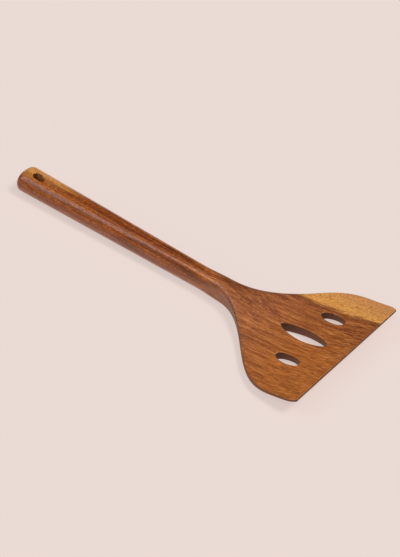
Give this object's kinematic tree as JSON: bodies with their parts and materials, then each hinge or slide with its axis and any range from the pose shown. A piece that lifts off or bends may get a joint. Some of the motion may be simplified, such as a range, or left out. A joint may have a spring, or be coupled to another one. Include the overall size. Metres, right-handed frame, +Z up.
{
  "type": "slotted wooden spatula",
  "caption": "Carved wooden spatula with a round handle, a hanging hole, and a wide wedge blade with through slots and an upturned straight front edge.",
  "frame": {"origin": "middle of the spatula's length, on the table it lies on", "axes": "+X along the handle to the blade's front edge, +Y across the blade to its left side seen from the handle, +Z up out of the blade's top face"},
  "size_m": [0.3, 0.1162, 0.018],
  "materials": {
    "oiled_wood": "satin oiled reddish brown hardwood with paler sapwood along one side, open grain along the handle"
  },
  "bodies": {
    "root": {"spatula": "oiled_wood"}
  },
  "joints": []
}
